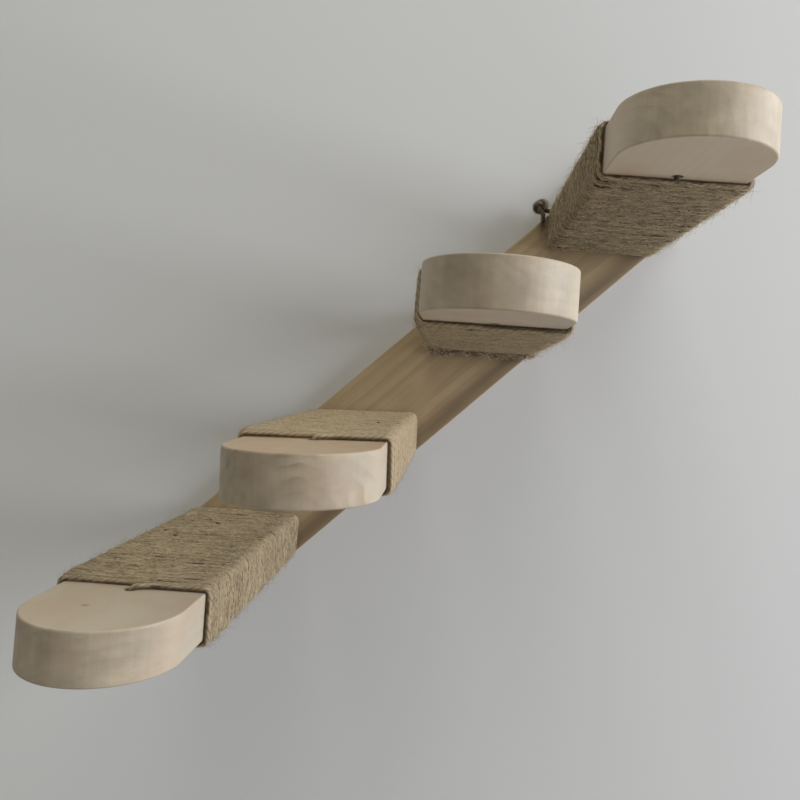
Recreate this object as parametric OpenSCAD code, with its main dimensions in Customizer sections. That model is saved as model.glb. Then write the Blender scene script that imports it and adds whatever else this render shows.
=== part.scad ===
// Cat stairs: four wooden treads stand out from a slanting backboard that hangs on a wall.
// Each tread is wound with rope from the backboard to its bare, round nose.
// Millimetres. The wall is the plane y = 0, the treads reach towards -y, and +z is up.
// The origin is the middle of the backboard's back face.

/* [Stair] */
// Slope of the backboard, in degrees from level
slope = 44; // [30:0.5:60]
// Distance from one tread to the next along the backboard
step_pitch = 178; // [150:1:240]

/* [Backboard] */
// Width of the backboard, across its grain
board_w = 110; // [90:1:150]
// Thickness of the backboard
board_t = 18; // [16:0.5:30]
// Length of board past the middle of the first and the last tread
board_end = 75; // [66:1:120]
// Radius of the backboard's four corners
board_corner = 4; // [1:0.5:12]
// Radius that eases the long front edges of the backboard
board_ease = 1.5; // [0.5:0.25:3]

/* [Treads] */
// Width of a tread, which is also the diameter of its round nose
tread_w = 110; // [90:1:130]
// Thickness of a tread
tread_t = 36; // [30:1:50]
// Length of a tread, from the backboard to the tip of its nose
tread_l = 392; // [370:1:450]
// Radius that eases a tread's long edges and its nose
tread_ease = 1.5; // [0.5:0.25:3]
// Dip of the second tread's nose below level, in degrees
second_dip = 0.6; // [0:0.1:1.5]
// Roll of the second tread, its left side down, in degrees
second_roll = 2; // [0:0.25:3]
// Lift of the third tread's nose above level, in degrees
third_lift = 0.9; // [0:0.1:1.5]

/* [Rope] */
// Thickness of the rope as it lies wound
rope_d = 5.5; // [4:0.25:7]
// Length of tread that is wound, from the backboard
wound_l = 300; // [200:1:306]
// Whole turns of the winding, each drawn as one flat band of neighbouring strands
turns = 21; // [12:1:24]
// Gap between one band of the winding and the next
turn_gap = 0.6; // [0.45:0.05:1.5]
// Diameter of the holes that take the rope's ends
rope_hole_d = 9; // [7.5:0.25:10]
// Distance of the first hole's middle past the end of the winding
rope_hole_out = 1.5; // [0:0.25:3]
// Length of rope's end that stands down in its hole
rope_end_l = 9; // [7:0.5:14]

/* [Knot] */
// Thickness of the teased out rope in the knot
knot_d = 3.4; // [2.5:0.1:4]
// Reach of the winding's last strand past the tread's side, to the knot
knot_lead = 2; // [1.5:0.5:8]
// Length of the knot's loose end
knot_tail = 8; // [5:0.5:16]

/* [Tread fixings] */
// Diameter of a tread screw's shank
screw_d = 5; // [4:0.25:6]
// Diameter of a tread screw's head
screw_head_d = 10; // [9:0.25:12]
// Length of a tread screw, head and all
screw_l = 70; // [50:1:100]
// Distance of each tread screw from the middle of its tread
screw_x = 34; // [26:0.5:40]
// Height of the tread screws above the middle of their tread
screw_z = 6; // [0:0.5:8]
// Diameter of a dowel
dowel_d = 10; // [6:0.5:12]
// Length of a dowel
dowel_l = 50; // [40:1:60]
// Distance of each dowel from the middle of its tread
dowel_x = 15; // [13:0.5:17]
// Drop of the dowels below the middle of their tread
dowel_drop = 5; // [0:0.5:7]
// Depth of the dowel holes in the backboard
dowel_board_depth = 12; // [8:0.5:13]

/* [Hangers] */
// Width of a hanger plate
plate_w = 20; // [18:0.5:26]
// Height of a hanger plate
plate_h = 54; // [52:1:70]
// Thickness of a hanger plate
plate_t = 2; // [1.5:0.25:3]
// Radius of a hanger plate's corners
plate_corner = 4; // [1:0.5:8]
// Diameter of the hole that a wall screw's head enters
key_entry_d = 10; // [8:0.25:11]
// Width of the slot that holds a wall screw's neck
key_slot_w = 5; // [4:0.25:6]
// Travel of a wall screw up the slot
key_travel = 15; // [12:0.5:17]
// Depth of the pocket behind a hanger plate
key_pocket_depth = 8; // [5:0.5:10]
// Diameter of a hanger screw's shank
plate_screw_d = 3; // [2.5:0.25:3.5]
// Diameter of a hanger screw's head
plate_head_d = 5.6; // [5.25:0.1:6.5]
// Length of a hanger screw, head and all
plate_screw_l = 13; // [10:0.5:14]
// Distance of a hanger screw from the end of its plate
plate_screw_inset = 5; // [4.5:0.25:6]

/* [Fits] */
// Clearance all round a screw or a dowel in its hole
bore_fit = 0.1; // [0.05:0.05:0.3]
// Clearance between the wound rope and the wood
rope_fit = 0.3; // [0.2:0.05:0.6]
// Clearance between a hanger plate and the sides of its recess
plate_fit = 0.2; // [0.1:0.05:0.5]
// Room past the tip of a screw or a dowel in a blind hole
tip_room = 2; // [0.5:0.5:4]

/* [Colours] */
// Bare wood of the treads
tread_colour = "#d9cdb0";
// Wood of the backboard
board_colour = "#c2ad82";
// Rope
rope_colour = "#a08c66";
// Plated steel
steel_colour = "#c9ccce";
// Dowel wood
dowel_colour = "#cbb27c";

/* [Hidden] */
$fn = 64;
cut = 1;

// Number of treads, and the one whose winding ends in a knot
treads = 4;
knotted = 4;
hangers = treads - 1;

board_l = (treads - 1) * step_pitch + 2 * board_end;
nose_r = tread_w / 2;

// Length of a screw's point, in shank diameters
point_share = 1.6;
// Cross recess in a screw's head, as shares of the head's diameter and height
drive_long = 0.5;
drive_wide = 0.12;
drive_deep = 0.7;
// Chamfer of a dowel's ends
dowel_chamfer = 1;
// Width of the pocket that a wall screw's head runs in
pocket_w = key_entry_d + 2;

// Place of tread or hanger number n on the slope, the middle of the board being 0
function tread_at(n) = (n - (treads + 1) / 2) * step_pitch;
function hanger_at(n) = (n - (hangers + 1) / 2) * step_pitch;
// How far tread n is off level in its joint, in degrees: its nose dips, and its left side drops
function dip(n) = n == 2 ? second_dip : n == 3 ? -third_lift : 0;
function roll(n) = n == 2 ? second_roll : 0;

// The winding's path round the tread's section, at the middle of the rope's thickness
half_d = rope_d / 2;
stand_off = rope_fit + half_d;
path_x = tread_w / 2 + stand_off;
path_z = tread_t / 2 + stand_off;
// The path cuts each corner at 45 degrees, as far out as clears the eased edge
corner_cut = (stand_off + tread_ease) * (1 - tan(22.5));
corner_run = corner_cut * sqrt(2);
flat_x = path_x - corner_cut;
flat_z = path_z - corner_cut;
perimeter = 4 * flat_x + 4 * flat_z + 4 * corner_run;
// The bend from the top face down into a hole
bend = (rope_hole_d / 2 + stand_off) - sqrt(2) * (half_d + rope_fit);
bend_cut = min(bend, half_d);
// Bevel of the band's edges
band_bevel = 0.3 * rope_d;
// The first strand comes up out of a hole past the end of the winding
seam_hole = wound_l + rope_hole_out;
// It is led over to its place in the winding, along this much of the tread's top
lead_over = rope_hole_out + half_d;
lead_run = 3 * rope_d;
// The last strand keeps clear of the backboard, also where the dip brings it nearest
function root_gap(n) = rope_fit + (path_z + half_d) * tan(abs(dip(n)));
function root_hole(n) = root_gap(n) + half_d;

// Corners of one turn as [x, z], from the top's left end round by the underside to the top's right end
turn_corners = [
  [-flat_x, path_z], [-path_x, flat_z], [-path_x, -flat_z], [-flat_x, -path_z],
  [flat_x, -path_z], [path_x, -flat_z], [path_x, flat_z], [flat_x, path_z]
];
// Length of path from the middle of the top to each corner
turn_lengths = [
  flat_x,
  flat_x + corner_run,
  flat_x + corner_run + 2 * flat_z,
  flat_x + 2 * corner_run + 2 * flat_z,
  3 * flat_x + 2 * corner_run + 2 * flat_z,
  3 * flat_x + 3 * corner_run + 2 * flat_z,
  3 * flat_x + 3 * corner_run + 4 * flat_z,
  3 * flat_x + 4 * corner_run + 4 * flat_z
];

knot_exit = path_x + knot_lead;
function is_knotted(n) = n == knotted;
function turns_of(n) = is_knotted(n) ? turns + knot_exit / perimeter : turns;
// Advance of the winding in one turn, which leaves both of its ends one rope wide
function advance(n) = (wound_l - root_gap(n) - 2 * rope_d - turn_gap) / (turns_of(n) - 1);
// How far past its place in the winding the strand still is after so many turns
function led(turn) = lead_over * max(0, 1 - turn * perimeter / lead_run);
// Edges of the band after so many turns, as distances from the backboard
function near_edge(n, turn) = led(turn) + max(root_gap(n), wound_l - rope_d - advance(n) * turn);
function far_edge(n, turn) = led(turn)
  + min(wound_l, wound_l - rope_d - turn_gap - advance(n) * (turn - 1));

// Stations of the winding as [x, z, turns made]: up out of the first hole, round and round, and out
function start_stations() = [
  [0, path_z - bend_cut - rope_end_l, 0],
  [0, path_z - bend_cut, 0],
  [-bend_cut, path_z, bend_cut / perimeter],
  [-lead_run, path_z, lead_run / perimeter]
];
function turn_stations() = [
  for (turn = [0 : turns - 1], corner = [0 : 7])
    [turn_corners[corner].x, turn_corners[corner].y, turn + turn_lengths[corner] / perimeter]
];
function hole_stations() = [
  [bend_cut, path_z, turns - bend_cut / perimeter],
  [0, path_z - bend_cut, turns],
  [0, path_z - bend_cut - rope_end_l, turns]
];
function knot_stations() = [[-knot_exit, path_z, turns + knot_exit / perimeter]];
function stations(n) = concat(
  start_stations(), turn_stations(), is_knotted(n) ? knot_stations() : hole_stations()
);

function unit(v) = v / norm(v);
// Direction in which a path of points leaves or passes point i
function heading(path, i) = unit(
  i == 0 ? path[1] - path[0]
  : i == len(path) - 1 ? path[i] - path[i - 1]
  : unit(path[i] - path[i - 1]) + unit(path[i + 1] - path[i])
);
// How much a mitre widens the section at point i
function mitre(path, i) = i == 0 || i == len(path) - 1
  ? 1
  : 1 / (heading(path, i) * unit(path[i + 1] - path[i]));

// The band's six-sided section at station i
function band_ring(n, path, turn, i) =
  let (
    along = heading(path, i),
    out = [along.y, -along.x] * mitre(path, i) * half_d,
    near = near_edge(n, turn),
    far = far_edge(n, turn),
    section = [
      [far, 0], [far - band_bevel, 1], [near + band_bevel, 1],
      [near, 0], [near + band_bevel, -1], [far - band_bevel, -1]
    ]
  )
  [for (corner = section) [
    path[i].x + out.x * corner.y,
    -corner.x,
    path[i].y + out.y * corner.y
  ]];
function band_rings(n) =
  let (
    route = stations(n),
    path = [for (s = route) [s.x, s.y]]
  )
  [for (i = [0 : len(route) - 1]) band_ring(n, path, route[i].z, i)];

// Triangles that close a tube made of rings of equal counts of points
sides = 6;
function tube_faces(rings) = concat(
  [for (k = [1 : sides - 2]) [0, k, k + 1]],
  [for (r = [0 : rings - 2], k = [0 : sides - 1])
    [r * sides + k, (r + 1) * sides + k, r * sides + (k + 1) % sides]],
  [for (r = [0 : rings - 2], k = [0 : sides - 1])
    [r * sides + (k + 1) % sides, (r + 1) * sides + k, (r + 1) * sides + (k + 1) % sides]],
  [for (k = [1 : sides - 2]) [(rings - 1) * sides, (rings - 1) * sides + k + 1, (rings - 1) * sides + k]]
);
function joined(rings) = [for (ring = rings, point = ring) point];

// Least distance between points of a tube whose rings are at least apart, and at most reach, rings apart
winding_apart = 6;
winding_reach = 10;
knot_apart = 5;
knot_reach = 40;
function least_gap(rings, apart, reach) = min([
  for (i = [0 : len(rings) - apart - 1], j = [i + apart : min(i + reach, len(rings) - 1)])
    for (a = rings[i], b = rings[j]) norm(a - b)
]);

// The knot is an overhand knot: three lobes round its middle, open at its lower right.
// It is laid out in rope thicknesses, as [x, y, z] from its middle
knot_mean_r = 1.35;
knot_lobe = 0.6;
knot_depth = 0.72;
knot_open = 20;
knot_turn = -50;
knot_sweep = 360 - 2 * knot_open;
knot_lobe_steps = 32;
function lobe_point(a) = [
  (knot_mean_r + knot_lobe * cos(3 * a)) * cos(2 * a + knot_turn),
  knot_depth * sin(3 * a),
  (knot_mean_r + knot_lobe * cos(3 * a)) * sin(2 * a + knot_turn)
];
knot_lead_points = [[3.2, 0.62, -1.05], [2.2, 0.62, -1.05], [1.85, 0.62, -0.88], [1.68, 0.62, -0.58]];
knot_tail_points = [[0.42, -0.68, -1.92], [0.72, -0.7, -2.35], [0.82, -0.7, -2.9]];
knot_tail_end = knot_tail_points[2] - [0, 0, knot_tail / knot_d];
knot_middle = [
  -knot_exit - knot_lead_points[0].x * knot_d,
  -stand_off - knot_lead_points[0].y * knot_d,
  path_z - knot_lead_points[0].z * knot_d
];
function knot_path() = [
  for (p = concat(
    knot_lead_points,
    [for (i = [0 : knot_lobe_steps]) lobe_point(knot_open + i * knot_sweep / knot_lobe_steps)],
    knot_tail_points,
    [knot_tail_end]
  )) knot_middle + p * knot_d
];
// The knot's round section at point i, square to the path
function knot_ring(path, i) =
  let (
    along = heading(path, i),
    back = [0, 1, 0],
    up = unit(back - along * (back * along)),
    side = cross(up, along)
  )
  [for (k = [0 : sides - 1])
    path[i] + (side * cos(360 * k / sides) + up * sin(360 * k / sides)) * knot_d / 2];
function knot_rings() = [for (i = [0 : len(knot_path()) - 1]) knot_ring(knot_path(), i)];

least_winding_gap = least_gap(band_rings(1), winding_apart, winding_reach);
least_knot_gap = least_gap(knot_rings(), knot_apart, knot_reach);
echo(least_winding_gap_mm = least_winding_gap, least_knot_gap_mm = least_knot_gap);

// Moves what is drawn from a tread's own frame, whose origin is the middle of its root, to tread n
module at_tread(n) {
  translate([tread_at(n) * cos(slope), -board_t, tread_at(n) * sin(slope)]) children();
}
// Moves what is drawn to tread n and leans it as that tread leans
module on_tread(n) {
  at_tread(n) rotate([dip(n), -roll(n), 0]) children();
}
// Moves what is drawn to hanger n, upright on the wall plane
module at_hanger(n) {
  translate([hanger_at(n) * cos(slope), 0, hanger_at(n) * sin(slope)]) children();
}
// Draws a round bar or bore that runs from the wall towards the room
module into_room(from, length, d) {
  translate([0, -from, 0]) rotate([90, 0, 0]) cylinder(h = length, d = d);
}

// Rectangle whose corners are rounded
module rounded_rectangle(w, h, r) {
  square([w - 2 * r, h], center = true);
  square([w, h - 2 * r], center = true);
  for (x = [-1, 1], y = [-1, 1]) translate([x * (w / 2 - r), y * (h / 2 - r)]) circle(r = r);
}

// Countersunk wood screw whose head lies in the wall plane and whose point is in the room
module wood_screw(d, head_d, length) {
  head_h = (head_d - d) / 2;
  point_h = d * point_share;
  rotate([90, 0, 0]) difference() {
    rotate_extrude() polygon([
      [0, 0], [head_d / 2, 0], [d / 2, head_h], [d / 2, length - point_h], [0, length]
    ]);
    for (turned = [0, 90]) rotate([0, 0, turned])
      cube([head_d * drive_long, head_d * drive_wide, 2 * head_h * drive_deep], center = true);
  }
}
// Hole for a wood screw's head and the part of its shank that lies in the same piece
module screw_hole(d, head_d, depth) {
  head_h = (head_d - d) / 2;
  rotate([90, 0, 0]) rotate_extrude() polygon([
    [0, -cut], [head_d / 2 + bore_fit, -cut], [head_d / 2 + bore_fit, bore_fit],
    [d / 2 + bore_fit, head_h + bore_fit], [d / 2 + bore_fit, depth], [0, depth]
  ]);
}

// Backboard, with its screw holes, dowel holes and hanger recesses
module backboard_outline() {
  rotate([0, -slope, 0]) rotate([90, 0, 0]) linear_extrude(board_t)
    rounded_rectangle(board_l, board_w, board_corner);
}
module backboard_section() {
  rotate([0, -slope, 0]) translate([-board_l, 0, 0]) rotate([90, 0, 90]) linear_extrude(2 * board_l) {
    translate([-board_t + board_ease, -board_w / 2]) square([board_t, board_w]);
    translate([-board_t, -board_w / 2 + board_ease]) square([board_t, board_w - 2 * board_ease]);
    for (side = [-1, 1])
      translate([-board_t + board_ease, side * (board_w / 2 - board_ease)]) circle(r = board_ease);
  }
}
module backboard() {
  color(board_colour) difference() {
    intersection() {
      backboard_outline();
      backboard_section();
    }
    for (n = [1 : treads]) at_tread(n) {
      for (side = [-1, 1]) {
        translate([side * screw_x, board_t, screw_z]) screw_hole(screw_d, screw_head_d, board_t + cut);
        translate([side * dowel_x, 0, -dowel_drop])
          into_room(-dowel_board_depth, dowel_board_depth + cut, dowel_d + 2 * bore_fit);
      }
    }
    for (n = [1 : hangers]) at_hanger(n) hanger_recess();
  }
}

// Tread in its own frame: a plank with eased edges and a round nose, left a little long at its root
module tread_body() {
  translate([0, cut, 0]) rotate([90, 0, 0]) linear_extrude(tread_l - nose_r + cut)
    rounded_rectangle(tread_w, tread_t, tread_ease);
  translate([0, nose_r - tread_l, 0]) rotate([0, 0, 180]) rotate_extrude(angle = 180) intersection() {
    rounded_rectangle(tread_w, tread_t, tread_ease);
    translate([0, -tread_t / 2]) square([tread_w, tread_t]);
  }
}
module rope_hole(distance) {
  translate([0, -distance, 0]) cylinder(h = tread_t + 2 * cut, d = rope_hole_d, center = true);
}
// Tread n. Its root lies flat on the backboard, and its fixings go in square to the backboard
module tread(n) {
  screw_depth = screw_l - board_t + tip_room;
  dowel_depth = dowel_l - dowel_board_depth + tip_room;
  color(tread_colour) difference() {
    on_tread(n) difference() {
      tread_body();
      rope_hole(seam_hole);
      if (!is_knotted(n)) rope_hole(root_hole(n));
    }
    at_tread(n) {
      translate([-tread_w, 0, -tread_w]) cube([2 * tread_w, 2 * cut, 2 * tread_w]);
      for (side = [-1, 1]) {
        translate([side * screw_x, 0, screw_z])
          into_room(-cut, screw_depth + cut, screw_d + 2 * bore_fit);
        translate([side * dowel_x, 0, -dowel_drop])
          into_room(-cut, dowel_depth + cut, dowel_d + 2 * bore_fit);
      }
    }
  }
}

// Winding of tread n in the tread's own frame, which sets off to the left from its first hole
module winding(n) {
  rings = band_rings(n);
  polyhedron(joined(rings), tube_faces(len(rings)));
}
// Rope of tread n. It sets off to the right, and to the left only where it ends in the knot
module rope(n) {
  color(rope_colour) on_tread(n) {
    if (is_knotted(n)) winding(n);
    else mirror([1, 0, 0]) winding(n);
  }
}
module rope_knot() {
  rings = knot_rings();
  color(rope_colour) on_tread(knotted) polyhedron(joined(rings), tube_faces(len(rings)));
}

// Screws that pull tread n against the backboard, put in from the wall side
module tread_screws(n) {
  color(steel_colour) at_tread(n) for (side = [-1, 1])
    translate([side * screw_x, board_t, screw_z]) wood_screw(screw_d, screw_head_d, screw_l);
}

// Dowels that keep tread n from turning
module dowels(n) {
  color(dowel_colour) at_tread(n) for (side = [-1, 1])
    translate([side * dowel_x, dowel_board_depth, -dowel_drop]) rotate([90, 0, 0]) rotate_extrude() polygon([
      [0, 0], [dowel_d / 2 - dowel_chamfer, 0], [dowel_d / 2, dowel_chamfer],
      [dowel_d / 2, dowel_l - dowel_chamfer], [dowel_d / 2 - dowel_chamfer, dowel_l], [0, dowel_l]
    ]);
}

// Keyhole plate, let in flush with the back: the wall screw's head enters below and rides up
plate_screw_z = plate_h / 2 - plate_screw_inset;
key_low = -key_travel / 2;
key_high = key_travel / 2;
module keyhole(entry_d, slot_w, end_d) {
  translate([0, key_low]) circle(d = entry_d);
  translate([-slot_w / 2, key_low]) square([slot_w, key_travel]);
  translate([0, key_high]) circle(d = end_d);
}
module hanger_recess() {
  rotate([90, 0, 0]) {
    translate([0, 0, -cut]) linear_extrude(plate_t + cut)
      rounded_rectangle(plate_w + 2 * plate_fit, plate_h + 2 * plate_fit, plate_corner + plate_fit);
    translate([0, 0, -cut]) linear_extrude(plate_t + key_pocket_depth + cut)
      keyhole(pocket_w, pocket_w, pocket_w);
  }
  for (side = [-1, 1]) translate([0, 0, side * plate_screw_z])
    into_room(-cut, plate_screw_l + tip_room + cut, plate_screw_d + 2 * bore_fit);
}
module hanger(n) {
  color(steel_colour) at_hanger(n) difference() {
    rotate([90, 0, 0]) linear_extrude(plate_t) difference() {
      rounded_rectangle(plate_w, plate_h, plate_corner);
      keyhole(key_entry_d, key_slot_w, key_slot_w);
    }
    for (side = [-1, 1]) translate([0, 0, side * plate_screw_z])
      screw_hole(plate_screw_d, plate_head_d, plate_t + cut);
  }
}
module hanger_screws() {
  color(steel_colour) for (n = [1 : hangers]) at_hanger(n) for (side = [-1, 1])
    translate([0, 0, side * plate_screw_z]) wood_screw(plate_screw_d, plate_head_d, plate_screw_l);
}

backboard();
for (n = [1 : treads]) {
  tread(n);
  rope(n);
  tread_screws(n);
  dowels(n);
}
rope_knot();
for (n = [1 : hangers]) {
  hanger(n);
}
hanger_screws();
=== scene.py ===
"""Cat stairs: rope, wood, steel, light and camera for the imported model.

Four treads stand out from a slanting backboard that hangs on a wall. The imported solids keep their
meshes and get their materials here. The rope windings and the knot get their real, laid rope.
"""

import math

import bpy
import numpy as np
from bpy.props import FloatProperty, FloatVectorProperty, IntProperty, PointerProperty
from mathutils import Euler, Matrix, Vector


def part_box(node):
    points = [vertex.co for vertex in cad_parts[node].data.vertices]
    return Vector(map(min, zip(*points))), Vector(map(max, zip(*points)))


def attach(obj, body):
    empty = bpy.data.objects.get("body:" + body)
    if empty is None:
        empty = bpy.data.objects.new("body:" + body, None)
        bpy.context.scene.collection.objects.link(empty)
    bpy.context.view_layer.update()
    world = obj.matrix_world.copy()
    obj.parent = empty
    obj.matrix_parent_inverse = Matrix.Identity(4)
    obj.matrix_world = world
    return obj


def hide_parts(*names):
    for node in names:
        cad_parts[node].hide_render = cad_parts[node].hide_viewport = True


bl_info = {
    "name": "Cat Stairs",
    "version": (1, 0, 0),
    "blender": (4, 5, 0),
    "location": "3D View > Sidebar > Cat Stairs",
    "description": "Dresses wall-hung cat stairs with rope, wood and steel, and sets their stage",
    "category": "Object",
}

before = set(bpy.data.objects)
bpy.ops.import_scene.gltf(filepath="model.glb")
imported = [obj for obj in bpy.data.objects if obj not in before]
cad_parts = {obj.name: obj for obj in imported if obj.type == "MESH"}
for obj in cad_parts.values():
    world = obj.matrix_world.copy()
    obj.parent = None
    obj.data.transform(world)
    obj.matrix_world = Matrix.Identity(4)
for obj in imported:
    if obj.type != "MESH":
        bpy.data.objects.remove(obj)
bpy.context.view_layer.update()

BODY = "root"
TREADS = (1, 2, 3, 4)
HANGERS = (1, 2, 3)
# The tread whose rope ends in the knot, and the one whose rope is worn at its root
KNOTTED, SHAGGY = 4, 3
# From the treads' noses towards the wall
ACROSS = np.array([0.0, 1.0, 0.0])

# How far a tread is off level, in degrees: the dip of its nose and the drop of its left side
LEANS = {2: (0.6, 2.0), 3: (-0.9, 0.0)}
# How pale and how uneven each winding's rope is, beside the usual rope
WINDINGS = {1: (0.97, 1.1), 2: (1.12, 0.35), 3: (1.0, 0.8), 4: (0.92, 1.7)}
# Larger bits of bark in a tread's rope, as places in the tread's own frame
FLECKS = {1: ((-0.027, -0.149, 0.024), (-0.020, -0.070, 0.024), (-0.009, -0.086, 0.024),
              (-0.043, -0.135, 0.024)),
          4: ((-0.052, -0.030, -0.024), (0.030, -0.120, -0.024))}
# The share of the winding after which wisps stand at its worn root, and how far they keep off the backboard
WORN_FROM, WISP_GAP = 0.96, 0.0012

# How pale each tread's wood is, beside the usual wood, how yellow its flat faces are, and how much its
# nose is ringed
WOODS = {1: (0.89, 0.05, 0.7), 2: (0.86, 0.23, 3.2), 3: (0.87, 0.12, 0.3), 4: (1.0, 0.08, 0.9)}
# Where a piece's pith runs: its place across and up, and how far it moves across in each metre along
PITHS = {1: (0.03, -0.075, 0.02), 2: (0.002, -0.024, -0.01), 3: (0.045, 0.06, 0.02), 4: (-0.05, -0.02, 0.01)}
BOARD_PITH, DOWEL_PITH = (0.015, -0.05, 0.03), (0.1, 0.1, 0.0)
# A tread's small knots: the place, whether it is round (1) or goes right through (0), the size, how far rings
# bend round it, and the share of dark
KNOTS = {1: (((-0.013, -0.343, 0.0), 0.0, 0.0042, 0.012, 0.42),
             ((0.0537, -0.382, -0.004), 1.0, 0.0014, 0.003, 0.7))}
# Dark lines that run all along the board: place across, half width and share of dark. The first is a dark ring
# of the grain; the other two are painted shade along one long edge of the board.
BOARD_RINGS_AND_EDGE_SHADE = ((0.040, 0.0013, 0.35), (0.0535, 0.0022, 0.45), (0.046, 0.020, 0.6))
# Half the board's width, and how far the board goes on past the first and the last tread's middle
BOARD_SIDE, BOARD_END = 0.055, 0.075

# How far the wall comes in over the board's outline, and how far it stands behind the board's back
WALL_OVER, WALL_BEHIND = 0.0014, 0.0006
# Each light's place, aim, side and tint. Its power is the stage's value of the same name.
LIGHTS = {"window": ((1.9, -0.75, 0.35), (0.0, -0.2, 0.0), 1.3, (0.88, 0.92, 1.0)),
          "ceiling": ((0.2, -0.9, 1.9), (0.0, -0.2, 0.0), 1.8, (0.97, 1.0, 0.91)),
          "behind": ((0.5, 1.4, 0.9), (0.0, 0.0, 0.0), 1.2, (1.0, 1.0, 1.0))}
ROOM_TINT = (0.99, 0.96, 0.88)
# The camera's shift and place, and its turns in the order in which they are multiplied
CAMERA_SHIFT = (-0.0550, -0.0522)
CAMERA_PLACE = (0.03975, -0.86495, 0.00525)
CAMERA_TURNS = ((1.2207, "Z"), (1.5863, "X"), (-4.0583, "Y"), (90.0, "X"))


def colour(figures):
    """Linear colour of a six-figure screen colour: the screen's own curve, undone."""
    share = np.array([int(figures[i:i + 2], 16) for i in (0, 2, 4)]) / 255
    linear = np.where(share <= 0.04045, share / 12.92, ((share + 0.055) / 1.055) ** 2.4)
    return tuple(float(part) for part in linear)


def number_of(name, description, default, **limits):
    """A number, with what else Blender should know of it."""
    return FloatProperty(name=name, description=description, default=default, **limits)


def count_of(name, description, default, **limits):
    """A whole number."""
    return IntProperty(name=name, description=description, default=default, **limits)


def length_of(name, description, default):
    """A length that the sidebar shows in the scene's unit, from half its default to twice it."""
    low, high = sorted((default / 2, default * 2))
    return number_of(name, description, default, min=low, max=high, precision=5,
                     unit="LENGTH", subtype="DISTANCE")


def share_of(name, description, default):
    """A share from nothing to all."""
    return number_of(name, description, default, min=0.0, max=1.0, subtype="FACTOR")


def power_of(name, description, default):
    """A light's power in watts."""
    return number_of(name, description, default, min=0.0, unit="POWER")


def colour_of(name, place, figures):
    """A colour that the sidebar shows as a swatch."""
    return FloatVectorProperty(name=name, description=f"Colour {place}", default=colour(figures),
                               min=0.0, max=1.0, size=3, subtype="COLOR")


class RopeSettings(bpy.types.PropertyGroup):
    thickness: length_of("Thickness", "Thickness of the rope as it lies wound", 0.0055)
    turns: count_of("Turns", "Whole turns round each tread", 54, min=30, max=70)
    lay: length_of("Lay", "Length in which a strand goes once round the rope", 0.0175)
    step: length_of("Step", "Distance between the rope's cross sections", 0.00198)
    corner: length_of("Corner", "Radius of the rope's middle line at a tread's corner", 0.0048)
    bend: length_of("Bend", "Radius of the rope's middle line where it goes into a hole", 0.0035)
    end: length_of("End", "Length of the rope's end that stands in its hole", 0.0095)
    lead_over: length_of("Lead over", "Distance from the first hole's middle to the first turn's", 0.00425)
    lead_run: length_of("Lead run", "Length of top in which the rope is led over to its first turn", 0.0165)
    fullness: number_of("Fullness", "How much fuller the rope is than its even thickness", 1.04)
    wander: length_of("Wander", "How far a turn strays from its even place", 0.00042)
    slub: share_of("Slub", "How much the rope swells and thins along its way", 0.05)
    squeeze: share_of("Squeeze", "How much thinner the first turn is pulled, beside its thickness", 0.22)
    round_way: length_of("Round way", "Way once round a tread, in which the rope is pulled tight", 0.31)
    groove: share_of("Groove", "Depth of the grooves between the strands, beside the radius", 0.13)
    crest: colour_of("Crest", "of the rope's strands", "9a886c")
    # This colour is painted shade in the strands' grooves, and the colour of the frayed yarns
    groove_shade_and_fray: colour_of("Valley", "down in the grooves", "665439")
    # This colour is the dark fibres' colour, and painted shade where one turn meets the next, along the first
    # turn and on the end in the hole
    dark_fibres_and_shade: colour_of("Deep", "between one turn and the next", "40331f")
    pale: colour_of("Pale fibres", "of the palest fibres", "b8a685")
    seed: count_of("Seed", "Picks how the turns stray", 7)


class KnotSettings(bpy.types.PropertyGroup):
    thickness: length_of("Thickness", "Thickness of the teased out rope", 0.0034)
    fullness: number_of("Fullness", "How much fuller the knot's rope is than that thickness", 1.6)
    # This share paints shade into the knot's rope: it is darker than the windings because it sits in the
    # highest tread's shade
    pale: number_of("Pale", "How pale the handled knot is, beside the usual rope", 0.62)
    lead: length_of("Lead", "Reach of the last strand past the tread's side", 0.002)
    tail: length_of("Tail", "Length of the loose end", 0.008)
    mean: number_of("Mean radius", "Mean radius of the knot, in rope thicknesses", 1.35)
    lobe: number_of("Lobe", "Swell of the knot's lobes, in rope thicknesses", 0.6)
    depth: number_of("Depth", "Depth of the crossings, in rope thicknesses", 0.72)
    lay: length_of("Lay", "Length in which a strand goes once round the knot's rope", 0.011)
    yarns: count_of("Yarns", "Loose yarns at the frayed end", 40, min=3, max=80)
    fuzz: count_of("Fuzz", "Stray fibres on the knot", 700, min=0, max=3000)
    seed: count_of("Seed", "Picks how the yarns lie", 11)


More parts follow.
